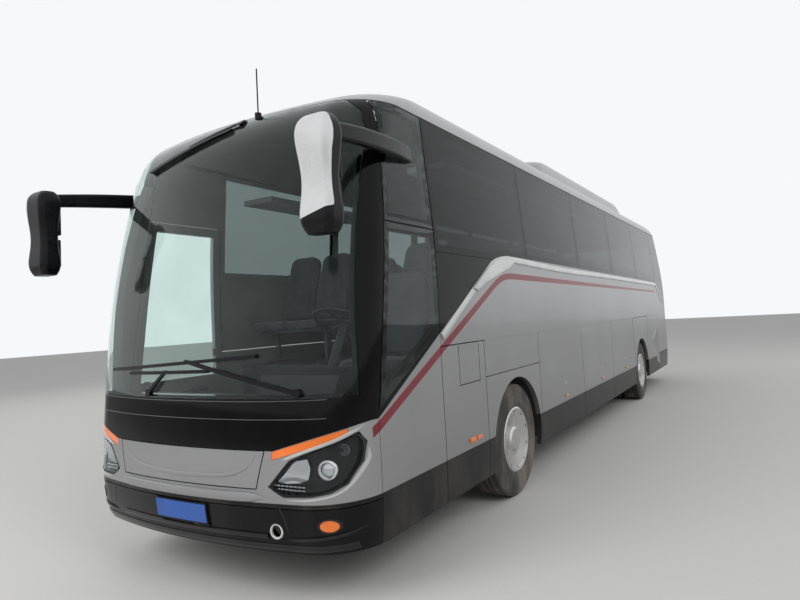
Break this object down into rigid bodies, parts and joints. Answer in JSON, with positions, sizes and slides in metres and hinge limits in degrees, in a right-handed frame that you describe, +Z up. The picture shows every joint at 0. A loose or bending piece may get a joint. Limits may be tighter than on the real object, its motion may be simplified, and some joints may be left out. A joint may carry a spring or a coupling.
{
  "type": "coach bus",
  "caption": "Two-axle touring coach with a raised deck, a swooping silver and red belt, bonded dark glass, lifting hold flaps, two swing doors and steered front wheels.",
  "frame": {"origin": "middle of the bounding box on the ground, midway between nose mirrors and tail", "axes": "+X forward, +Y to the coach's left, +Z up"},
  "size_m": [12.3365, 2.9698, 3.77],
  "materials": {
    "silver_paint": "silver metallic, clear coat",
    "black_gloss": "gloss black",
    "bumper_plastic": "satin dark grey",
    "screen_glass": "clear with a light tint",
    "tinted_glass": "dark tint",
    "lamp_glass": "clear cover over dark reflectors",
    "amber_lens": "amber lens",
    "red_lens": "red lens",
    "unit_paint": "silver metallic",
    "hatch_plastic": "pale grey",
    "floor_cover": "grey sheet floor",
    "hold_sheet": "dark coated sheet",
    "frame_steel": "black paint",
    "axle_iron": "bare casting, dusty",
    "engine_iron": "stands for the engine and gearbox",
    "wheel_steel": "polished cover over a silver rim",
    "tyre": "road tread, washed",
    "mirror_shell": "silver in front, black behind",
    "black_plastic": "satin black",
    "post_steel": "dark grey",
    "seat_fabric": "woven, dark blue grey",
    "rack_plastic": "light grey"
  },
  "bodies": {
    "body": {"amber_lamps": "amber_lens", "antenna": "black_plastic", "bumper": "bumper_plastic", "cabin_floor": "floor_cover", "chassis_frame": "frame_steel", "cooling_unit": "unit_paint", "dashboard": "black_plastic", "driver_seat": "seat_fabric", "engine_block": "engine_iron", "front_axle": "axle_iron", "front_mask": "black_gloss", "front_panel": "silver_paint", "headlamps": "lamp_glass", "hold_floor": "hold_sheet", "lower_walls": "silver_paint", "luggage_racks": "rack_plastic", "mirrors": "mirror_shell", "passenger_seats": "seat_fabric", "rear_axle": "axle_iron", "roof": "silver_paint", "side_windows": "tinted_glass", "stairs": "floor_cover", "steering_wheel": "black_plastic", "tail_bumper": "bumper_plastic", "tail_lamps": "red_lens", "tail_panel": "silver_paint", "tail_window": "tinted_glass", "upper_walls": "silver_paint", "wheel_housings": "hold_sheet", "window_frames": "black_gloss", "windscreen": "screen_glass", "wipers": "black_plastic"},
    "front_lid": {"front_lid": "silver_paint"},
    "engine_lid": {"engine_lid": "silver_paint"},
    "hatch_front": {"hatch_front": "hatch_plastic"},
    "hatch_rear": {"hatch_rear": "hatch_plastic"},
    "filler_flap": {"filler_flap": "silver_paint"},
    "wheel_flap": {"wheel_flap": "silver_paint"},
    "engine_flap": {"engine_flap": "silver_paint"},
    "hold_flap_left_1": {"hold_flap_left_1": "silver_paint"},
    "hold_flap_left_2": {"hold_flap_left_2": "silver_paint"},
    "hold_flap_left_3": {"hold_flap_left_3": "silver_paint"},
    "hold_flap_right_1": {"hold_flap_right_1": "silver_paint"},
    "hold_flap_right_2": {"hold_flap_right_2": "silver_paint"},
    "front_door_arm": {"front_door_arm": "post_steel"},
    "front_door": {"front_door": "silver_paint", "front_door_glass": "tinted_glass"},
    "mid_door_arm": {"mid_door_arm": "post_steel"},
    "mid_door": {"mid_door": "silver_paint", "mid_door_glass": "tinted_glass"},
    "knuckle_left": {"knuckle_left": "axle_iron"},
    "knuckle_right": {"knuckle_right": "axle_iron"},
    "wheel_front_left": {"rim_front_left": "wheel_steel", "tyre_front_left": "tyre"},
    "wheel_front_right": {"rim_front_right": "wheel_steel", "tyre_front_right": "tyre"},
    "wheel_rear_left": {"rim_rear_left": "wheel_steel", "tyre_rear_left": "tyre"},
    "wheel_rear_right": {"rim_rear_right": "wheel_steel", "tyre_rear_right": "tyre"}
  },
  "joints": [
    {"name": "filler_flap_lift", "type": "hinge", "parent": "body", "child": "filler_flap", "pos_m": [4.2475, 1.2775, 1.464], "axis": [1, 0, 0], "range_deg": [0, 90]},
    {"name": "wheel_flap_lift", "type": "hinge", "parent": "body", "child": "wheel_flap", "pos_m": [3.2995, 1.2775, 1.485], "axis": [1, 0, 0], "range_deg": [0, 90]},
    {"name": "engine_flap_lift", "type": "hinge", "parent": "body", "child": "engine_flap", "pos_m": [-4.0195, 1.2775, 1.485], "axis": [1, 0, 0], "range_deg": [0, 90]},
    {"name": "hold_flap_left_1_lift", "type": "hinge", "parent": "body", "child": "hold_flap_left_1", "pos_m": [1.8435, 1.2775, 1.485], "axis": [1, 0, 0], "range_deg": [0, 90]},
    {"name": "hold_flap_left_2_lift", "type": "hinge", "parent": "body", "child": "hold_flap_left_2", "pos_m": [0.2455, 1.2775, 1.485], "axis": [1, 0, 0], "range_deg": [0, 90]},
    {"name": "hold_flap_left_3_lift", "type": "hinge", "parent": "body", "child": "hold_flap_left_3", "pos_m": [-1.3515, 1.2775, 1.485], "axis": [1, 0, 0], "range_deg": [0, 90]},
    {"name": "hold_flap_right_1_lift", "type": "hinge", "parent": "body", "child": "hold_flap_right_1", "pos_m": [1.8175, -1.2775, 1.485], "axis": [-1, 0, 0], "range_deg": [0, 90]},
    {"name": "hold_flap_right_2_lift", "type": "hinge", "parent": "body", "child": "hold_flap_right_2", "pos_m": [0.1675, -1.2775, 1.485], "axis": [-1, 0, 0], "range_deg": [0, 90]},
    {"name": "front_lid_lift", "type": "hinge", "parent": "body", "child": "front_lid", "pos_m": [5.9605, 0, 1.062], "axis": [0, -1, 0], "range_deg": [0, 75]},
    {"name": "engine_lid_lift", "type": "hinge", "parent": "body", "child": "engine_lid", "pos_m": [-6.1455, 0, 1.694], "axis": [0, 1, 0], "range_deg": [0, 80]},
    {"name": "hatch_front_lift", "type": "hinge", "parent": "body", "child": "hatch_front", "pos_m": [2.6475, 0, 3.5695], "axis": [0, 1, 0], "range_deg": [0, 20]},
    {"name": "hatch_rear_lift", "type": "hinge", "parent": "body", "child": "hatch_rear", "pos_m": [-4.0525, 0, 3.5695], "axis": [0, 1, 0], "range_deg": [0, 20]},
    {"name": "front_door_swing", "type": "hinge", "parent": "body", "child": "front_door_arm", "pos_m": [5.4075, -1.16, 0.9], "axis": [0, 0, 1], "range_deg": [0, 110]},
    {"name": "front_door_carry", "type": "hinge", "parent": "front_door_arm", "child": "front_door", "pos_m": [4.8175, -1.16, 0.9], "axis": [0, 0, 1], "range_deg": [-110, 0]},
    {"name": "mid_door_swing", "type": "hinge", "parent": "body", "child": "mid_door_arm", "pos_m": [-1.5225, -1.16, 0.9], "axis": [0, 0, -1], "range_deg": [0, 110]},
    {"name": "mid_door_carry", "type": "hinge", "parent": "mid_door_arm", "child": "mid_door", "pos_m": [-0.9325, -1.16, 0.9], "axis": [0, 0, -1], "range_deg": [-110, 0]},
    {"name": "steer_left", "type": "hinge", "parent": "body", "child": "knuckle_left", "pos_m": [3.2675, 0.905, 0.515], "axis": [0, 0, 1], "range_deg": [-50, 50]},
    {"name": "steer_right", "type": "hinge", "parent": "body", "child": "knuckle_right", "pos_m": [3.2675, -0.905, 0.515], "axis": [0, 0, 1], "range_deg": [-50, 50]},
    {"name": "roll_front_left", "type": "hinge", "parent": "knuckle_left", "child": "wheel_front_left", "pos_m": [3.2675, 1.092, 0.515], "axis": [0, 1, 0], "continuous": true},
    {"name": "roll_front_right", "type": "hinge", "parent": "knuckle_right", "child": "wheel_front_right", "pos_m": [3.2675, -1.092, 0.515], "axis": [0, 1, 0], "continuous": true},
    {"name": "roll_rear_left", "type": "hinge", "parent": "body", "child": "wheel_rear_left", "pos_m": [-2.8125, 1.092, 0.515], "axis": [0, 1, 0], "continuous": true},
    {"name": "roll_rear_right", "type": "hinge", "parent": "body", "child": "wheel_rear_right", "pos_m": [-2.8125, -1.092, 0.515], "axis": [0, 1, 0], "continuous": true}
  ],
  "couplings": [
    {"joint": "front_door_carry", "follows": "front_door_swing", "ratio": -1},
    {"joint": "mid_door_carry", "follows": "mid_door_swing", "ratio": -1},
    {"joint": "steer_right", "follows": "steer_left", "ratio": 1}
  ]
}
